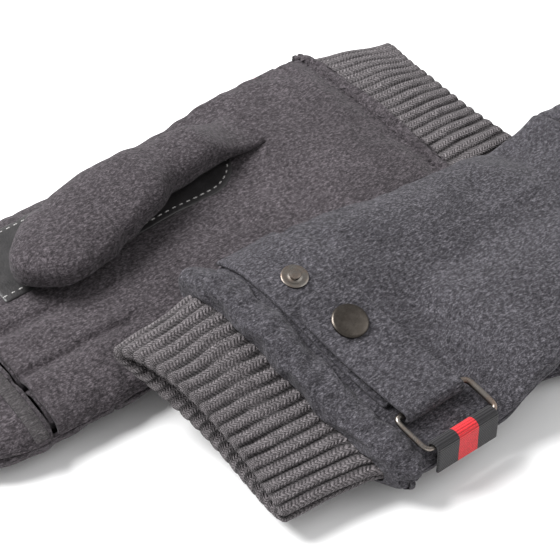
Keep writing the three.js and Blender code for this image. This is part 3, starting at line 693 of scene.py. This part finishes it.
# %% Wrist hem
def wrist_hem(side):
    seed = {"right": 71, "left": 83}[side]

    def at(s, t, out):
        angle = 2 * np.pi * t
        seat_u, seat_v, seat_w = section(np.full(np.shape(s), 0.5), angle, 0.3)
        back = np.where(seat_w > 0, smooth(seat_w, 0, 5), 0)
        thick = lerp(0.9, 5.6, back) * (1 + 0.09 * ripple(seat_v, 0 * s, 26, seed))
        arc = np.pi * lerp(-0.16, 1.12, s)
        gather = 0.4 * back * ripple(seat_v * 1.5 + 11 * s, 7 * s, 9, seed + 1) * np.sin(np.pi * s)
        bulge = 0.75 * back * ripple(seat_v + 6 * s, 8 * s, 24, seed + 2)
        tuck = 1 - smooth(s, 0, 0.3)
        seat_v, seat_w = seat_v * lerp(1, 0.915, tuck), seat_w * lerp(1, 0.8, tuck)
        radius = thick + gather + bulge + out
        reach = lerp(2.6, 6.3, back) + 0.35 * back * ripple(seat_v, 4 * s, 17, seed + 3)
        u = lerp(-1.4, 1.6, back) - (reach + out) * np.cos(arc)
        over = 0.5 + radius * np.maximum(np.sin(arc), -0.35) * 0.92
        tilt = np.hypot(seat_v / 48, seat_w / 9.6)
        return u, seat_v + over * seat_v / 48 / tilt, seat_w + over * seat_w / 9.6 / tilt

    gathered = lambda s, t: (s < 0.05) | (s > 0.95)
    piece = cloth("wrist_hem", side, (22, 220), at, 1.2, weld=SAME_PLACE, seams=gathered, growth=0.05, most=1.4)
    finish_piece(piece, side + "_mitten", WOOL[side], side + "_wool", side + "_wrist_hem")


for side in ("right", "left"):
    wrist_hem(side)

# %% [markdown]
# ## The thumb
#
# The thumb is a stuffed-looking tube that lies on the palm. It starts flat at its root near the cuff, grows
# thicker, and closes in a round tip. Its two seams are drawn as narrow dips. It isn't simulated as the
# shell is, because that made lumps on a shape that is smooth and firm on a real mitten.

# %% Thumb
THUMB_LENGTH = 110
THUMBS = {"right": (-3, 1.0), "left": (22, 0.55)}
THUMB_WIDTHS = [(0, 10), (22, 9.6), (42, 10.9), (55, 14.2), (70, 15.8), (81, 17.4), (90, 16.6), (110, 13)]
THUMB_BENDS = [(0, 4), (22, 2.4), (42, 1.7), (55, -0.5), (70, -1.5), (80, -4), (90, -5.8), (100, -7.2)]


def thumb(side):
    angle, flatten = THUMBS[side]
    turn = math.radians(angle)
    seed = {"right": 91, "left": 95}[side]

    def at(s, t, out):
        x = THUMB_LENGTH * np.where(s < 0.5, s * 1.1, 1 - (1 - s) ** 1.25 * 0.45 / 0.5**1.25)
        tip = np.sqrt(np.clip(1 - (np.maximum(x - 88, 0) / 22) ** 2, 0, 1))
        width = through(THUMB_WIDTHS, x)
        height = through([(0, 4.5), (30, 14), (55, 17), (95, 15)], x) * flatten
        ring = 2 * np.pi * t
        bend = lambda y: np.sign(y) * np.abs(y) ** 0.85
        folds = 0.5 * ripple(x, 9 * np.sin(ring), 34, seed) + 0.22 * ripple(x, 12 * np.sin(ring), 12, seed + 1)
        seam = -0.8 * np.exp(-((np.minimum(t, 1 - t) / 0.012) ** 2)) - 0.8 * np.exp(-(((t - 0.5) / 0.012) ** 2))
        puff = (folds + seam) * smooth(x, 4, 20) + out
        a = np.maximum(width * tip + puff * tip, 0)
        b = np.maximum(height * lerp(0.35, 1, tip) / 2 + puff, 0.3) * np.where(s > 0.999, 0, 1)
        y = a * bend(np.cos(ring)) * np.where(s > 0.999, 0, 1) + through(THUMB_BENDS, x) * flatten
        root = (1 - smooth(x, -2, 24)) * 3.4
        z = -height / 2 + b * bend(np.sin(ring)) + root
        u = 43 + x * math.cos(turn) - y * math.sin(turn)
        v = 18 + x * math.sin(turn) + y * math.cos(turn)
        return u, v, z - 11.6

    piece = cloth("thumb", side, (64, 56), at, 0, weld=SAME_PLACE)
    finish_piece(piece, side + "_thumb_end", WOOL[side], side + "_wool", side + "_thumb")


for side in ("right", "left"):
    thumb(side)

# %% [markdown]
# ## The leather patch and its stitches
#
# The patch is one sheet of leather with a round end. One stitch is modelled, a short bulged rod, and
# copied every few millimetres along a line just inside the patch's edge, as a sewing machine leaves it.

# %% Leather patch
PATCH_U, PATCH_V = (56.0, 158.0), (3.0, 37.0)


def patch_half(u, inset=0.0):
    radius = (PATCH_V[1] - PATCH_V[0]) / 2
    near = np.clip((u - PATCH_U[0]) / radius, 0, 1)
    return np.maximum(radius * np.sqrt(np.clip(1 - (1 - near) ** 2, 0, 1)), radius * 0.12) - inset


def patch(side):
    middle = sum(PATCH_V) / 2

    def at(s, t, out):
        u = lerp(PATCH_U[0], PATCH_U[1], s**1.5)
        v = middle + patch_half(u) * (2 * t - 1)
        hem = np.minimum(1, np.minimum(t, 1 - t) * 14) * np.minimum(1, s * 20)
        return u, v, -surface(u, v) - 0.5 - 0.35 * hem - out - 0.12 * ripple(u, v, 20, 7)

    piece = cloth("leather_patch", side, (90, 40), at, 1.0, offset=0.2)
    finish_piece(piece, side + "_mitten", LEATHER, "leather", side + "_palm_patch")
    return piece


def stitch_line(side, patch_piece):
    middle = sum(PATCH_V) / 2
    u = PATCH_U[0] + 102 * np.linspace(0, 1, 1200) ** 2
    low = np.stack([u, middle - patch_half(u, 2.4)], 1)
    high = np.stack([u, middle + patch_half(u, 2.4)], 1)
    keep = u > PATCH_U[0] + 2.4
    line = np.concatenate([low[keep][::-1], high[keep]])
    length = np.concatenate([[0], np.cumsum(np.hypot(*np.diff(line, axis=0).T))])
    places = np.arange(1.5, length[-1], 3.0)
    bpy.ops.mesh.primitive_uv_sphere_add(segments=8, ring_count=6, radius=1)
    piece = bpy.context.object
    piece.name = piece.data.name = side + "_patch_stitches"
    ball = np.array([v.co for v in piece.data.vertices])
    faces = [list(p.vertices) for p in piece.data.polygons]
    corners, all_faces = [], []
    for place in places:
        u0, v0 = (np.interp(place, length, line[:, i]) for i in (0, 1))
        u1, v1 = (np.interp(place + 0.1, length, line[:, i]) for i in (0, 1))
        turn = math.atan2(v1 - v0, u1 - u0)
        x, y = ball[:, 0] * 1.15, ball[:, 1] * 0.33
        uu = u0 + x * math.cos(turn) - y * math.sin(turn)
        vv = v0 + x * math.sin(turn) + y * math.cos(turn)
        ww = -surface(uu, vv) - 1.35 - ball[:, 2] * 0.26 + 0.18 * ball[:, 0] ** 2
        all_faces += [[k + len(corners) * len(ball) for k in face] for face in faces]
        corners.append(lay(side, uu, vv, ww))
    piece.data.clear_geometry()
    piece.data.from_pydata(np.concatenate(corners).tolist(), [], all_faces)
    bpy.context.view_layer.objects.active = piece
    bpy.ops.object.mode_set(mode="EDIT")
    bpy.ops.mesh.select_all(action="SELECT")
    bpy.ops.mesh.normals_make_consistent(inside=False)
    bpy.ops.object.mode_set(mode="OBJECT")
    bpy.ops.object.shade_smooth()
    finish_piece(piece, side + "_mitten", THREAD, "leather")
    print("stitches:", len(places))


for side in ("right", "left"):
    stitch_line(side, patch(side))

# %% [markdown]
# ## Strap, flap and webbing
#
# These are ribbons: a path over the back of the hand, a width across it and a thin wall. The strap's base is
# sewn to the shell. Its flap comes off the ring's inner bar and lies back over the base, held by the snap.
# The webbing goes round the ring's outer bar and down to the side seam.

# %% Ribbons
def strap_middle(v):
    return STRAP_U + 0.03 * np.maximum(v, 0)


def over_back(v, grow):
    return np.stack([v, surface(np.full(np.shape(v), STRAP_U), v) + grow], -1)


def bar(v):
    foot, beyond = over_back(np.array([v, v + 1.0]), 0.0)
    along = (beyond - foot) / np.linalg.norm(beyond - foot)
    return foot + np.array([-along[1], along[0]]) * 4.2


def ribbon(name, side, path, wall, half_at, count, middle=strap_middle, wave=0.1):
    """path holds (v, w) along the ribbon's middle surface."""
    path = np.asarray(path)
    length = np.concatenate([[0], np.cumsum(np.hypot(*np.diff(path, axis=0).T))])

    def at(s, t, out):
        put = lambda q: [np.interp(np.clip(q, 0, 1) * length[-1], length, path[:, i]) for i in (0, 1)]
        v, w = put(s)
        (v0, w0), (v1, w1) = put(s - 0.02), put(s + 0.02)
        dv, dw = v1 - v0, w1 - w0
        size = np.hypot(dv, dw)
        shift = out + wave * ripple(length[-1] * s, 20 * t, 15, 3)
        u = middle(v) + half_at(s) * (2 * t - 1)
        return u, v - dw / size * shift, w + dv / size * shift

    piece = cloth(name, side, count, at, wall, offset=0.0)
    return piece, length[-1]


RING_V = (32.5, 44.0)
STACK = 2.6


def strap(side):
    v = np.linspace(-42.5, 28, 60)
    path = over_back(v, 0.85 + STRAP_WALL / 2)
    piece, length = ribbon("strap_base", side, path, STRAP_WALL, lambda s: 12.0, (60, 16))
    finish_piece(piece, side + "_mitten", WOOL[side], side + "_wool", side + "_strap_base")

    inner, around = bar(RING_V[0]), 1.45
    turn = np.radians(np.linspace(-115, 100, 16))
    fold = inner + (around + STRAP_WALL / 2) * np.stack([np.cos(turn), np.sin(turn)], -1)
    t = np.linspace(0, 1, 40)[2:]
    low = inner[1] + around - surface(np.array(STRAP_U), np.array(RING_V[0]))
    height = lerp(low, 0.8 + STRAP_WALL + STACK, smooth(t, 0, 0.45)) + STRAP_WALL / 2
    back = over_back(lerp(RING_V[0], -10, t), height)
    tip = lambda s: 12 * (1 - 0.45 * np.clip((s - 0.82) / 0.18, 0, 1) ** 2.2)
    piece, length = ribbon("strap_flap", side, np.concatenate([fold, back]), STRAP_WALL, tip, (56, 16))
    finish_piece(piece, side + "_flap_end", WOOL[side], side + "_wool", side + "_strap_flap")


def webbing_tab(side):
    outer, around = bar(RING_V[1]), 1.45
    turn = np.radians(np.linspace(250, 0, 20))
    fold = outer + (around + 0.55) * np.stack([np.cos(turn), np.sin(turn)], -1)
    foot = {"right": 2.5, "left": -2.0}[side]
    down = np.stack([np.full(6, outer[0] + around + 0.55), np.linspace(outer[1], foot, 7)[1:]], -1)
    middle = lambda v: 0 * v + strap_middle(RING_V[1])
    piece, length = ribbon("webbing_tab", side, np.concatenate([fold, down]), 1.1, lambda s: 12.5, (90, 30),
                           middle, 0.05)
    finish_piece(piece, side + "_mitten", WEBBING, "webbing", side + "_webbing_tab")


for side in ("right", "left"):
    strap(side)
    webbing_tab(side)

# %% [markdown]
# ## Ring and snaps
#
# The ring starts from a copy of its CAD mesh, made round by subdivision. Each snap part is turned: half of
# its outline is drawn in edit mode and spun a full turn round its axis, as a lathe would do it.

# %% Ring and snaps
CAP = [(0, 0), (5.7, 0), (6.15, 0.25), (6.25, 0.6), (6.15, 0.95), (5.85, 1.22), (5.4, 1.34), (4.9, 1.42),
       (3.2, 1.62), (1.6, 1.66), (0, 1.6)]
SOCKET = [(2.5, 0), (4.7, 0), (5.2, 0.5), (5.2, 1.2), (2.5, 1.2), (2.5, 0)]
STUD = [(0, 0), (4.4, 0), (4.6, 0.12), (4.6, 0.3), (4.3, 0.44), (3.6, 0.5), (3.2, 0.42), (2.5, 0.42),
        (2.1, 0.62), (1.7, 0.7), (1.58, 0.95), (1.62, 1.15), (2.0, 1.38), (2.1, 1.58), (1.95, 1.8),
        (1.4, 1.92), (0.6, 1.95), (0, 1.95)]
SNAPS = {
    "snap_cap": ("flap_end", GUNMETAL, "gunmetal", CAP),
    "snap_socket": ("flap_end", NICKEL, "nickel", SOCKET),
    "snap_stud": ("mitten", NICKEL, "nickel", STUD),
    "spare_stud": ("mitten", NICKEL, "nickel", STUD),
}


def seat(side, v, grow):
    """The place and the three directions of a stiff piece that sits on the strap at v."""
    u = float(strap_middle(v))
    at = lambda du, dv, up: lay(side, np.array(u + du), np.array(v + dv),
                                surface(np.array(STRAP_U), np.array(v + dv)) + grow + up)
    along = at(1, 0, 0) - at(-1, 0, 0)
    across = at(0, 1, 0) - at(0, -1, 0)
    up = np.cross(along, across)
    up = Vector(up / np.linalg.norm(up))
    if up.dot(Vector(at(0, 0, 1) - at(0, 0, 0))) < 0:
        up = -up
    first = Vector(along).normalized()
    return Matrix((first, up.cross(first), up)).transposed().to_4x4(), Vector(at(0, 0, 0))


def snap(side, name, v, grow):
    body, material, slot, outline = SNAPS[name]
    turn, place = seat(side, v, grow)
    mesh = bpy.data.meshes.new(f"{side}_turned_{name}")
    mesh.from_pydata([(r * MM, 0, h * MM) for r, h in outline], [(i, i + 1) for i in range(len(outline) - 1)], [])
    piece = bpy.data.objects.new(f"{side}_turned_{name}", mesh)
    bpy.context.collection.objects.link(piece)
    select_only(piece)
    bpy.ops.object.mode_set(mode="EDIT")
    bpy.ops.mesh.select_all(action="SELECT")
    bpy.ops.mesh.spin(steps=56, angle=2 * math.pi, center=(0, 0, 0), axis=(0, 0, 1))
    bpy.ops.mesh.select_all(action="SELECT")
    bpy.ops.mesh.remove_doubles(threshold=1e-6)
    bpy.ops.mesh.normals_make_consistent(inside=False)
    bpy.ops.object.mode_set(mode="OBJECT")
    mesh.transform(Matrix.Translation(place) @ turn)
    bpy.ops.object.shade_smooth_by_angle(angle=math.radians(32))
    finish_piece(piece, f"{side}_{body}", material, slot, f"{side}_{name}")


def ring(side):
    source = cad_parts[side + "_strap_ring"]
    piece = bpy.data.objects.new(side + "_round_ring", source.data.copy())
    bpy.context.collection.objects.link(piece)
    piece.data.transform(source.matrix_world)
    select_only(piece)
    tidy_mesh(piece, 1e-6)
    fine = piece.modifiers.new("fine", "SUBSURF")
    fine.levels = fine.render_levels = 2
    run_modifiers(piece)
    bpy.ops.object.shade_smooth()
    finish_piece(piece, side + "_ring_loop", NICKEL, "nickel", side + "_strap_ring")


STRAP_TOP = 0.8 + STRAP_WALL + 0.3
for side in ("right", "left"):
    ring(side)
    snap(side, "snap_cap", 4.0, 0.8 + 2 * STRAP_WALL + STACK + 0.15)
    snap(side, "snap_stud", 4.0, STRAP_TOP)
    snap(side, "snap_socket", 4.0, STRAP_TOP + 0.8)
    snap(side, "spare_stud", -20.0, STRAP_TOP)

# %% [markdown]
# ## Floor, light and camera
#
# The pair lies on a plain white surface under a large soft light from above and behind, with a weaker fill
# from the front, so that the shadows are short and pale. The camera looks down at about 45 degrees.

# %% Stage
bpy.ops.mesh.primitive_plane_add(size=6, location=(0, 0, -0.0003))
floor = bpy.context.object
floor.name = "floor"
paper, paper_shader, paper_where = start_material("white surface")
tone = ramp(paper, noise(paper, paper_where, 3.0), [(0.3, 0.93), (0.7, 0.96)])
join(paper, paper_shader, Base_Color=tone, Roughness=0.8, Specular_IOR_Level=0.1)
floor.data.materials.append(paper)

target = Vector((-0.02265, 0.01018, 0.01215))


def soft_light(name, place, size, power):
    light = bpy.data.lights.new(name, "AREA")
    light.shape, light.size, light.energy = "DISK", size, power
    lamp = bpy.data.objects.new(name, light)
    bpy.context.collection.objects.link(lamp)
    lamp.location = target + Vector(place)
    lamp.rotation_euler = (-Vector(place)).to_track_quat("-Z", "Y").to_euler()


soft_light("key", (-0.55, 0.65, 1.1), 0.8, 34)
soft_light("fill", (0.9, -0.6, 0.9), 1.2, 5)
world = bpy.data.worlds.new("studio")
bpy.context.scene.world = world
world.use_nodes = True
world.node_tree.nodes["Background"].inputs[0].default_value = (1, 1, 1, 1)
world.node_tree.nodes["Background"].inputs[1].default_value = 0.6
bpy.context.scene.view_settings.view_transform = "Standard"

camera = bpy.data.objects.new("camera", bpy.data.cameras.new("camera"))
bpy.context.collection.objects.link(camera)
bpy.context.scene.camera = camera
azimuth, elevation, distance = math.radians(-38), math.radians(45), 0.75
back = Vector((math.sin(azimuth) * math.cos(elevation), -math.cos(azimuth) * math.cos(elevation),
               math.sin(elevation)))
camera.location = target + back * distance
camera.rotation_euler = (-back).to_track_quat("-Z", "Y").to_euler()
camera.data.lens = 142.2
camera.data.clip_start, camera.data.clip_end = 0.05, 20
print("camera at", [round(c, 3) for c in camera.location])

# %% Size of the CAD frame
print("cad box:", cad_box)
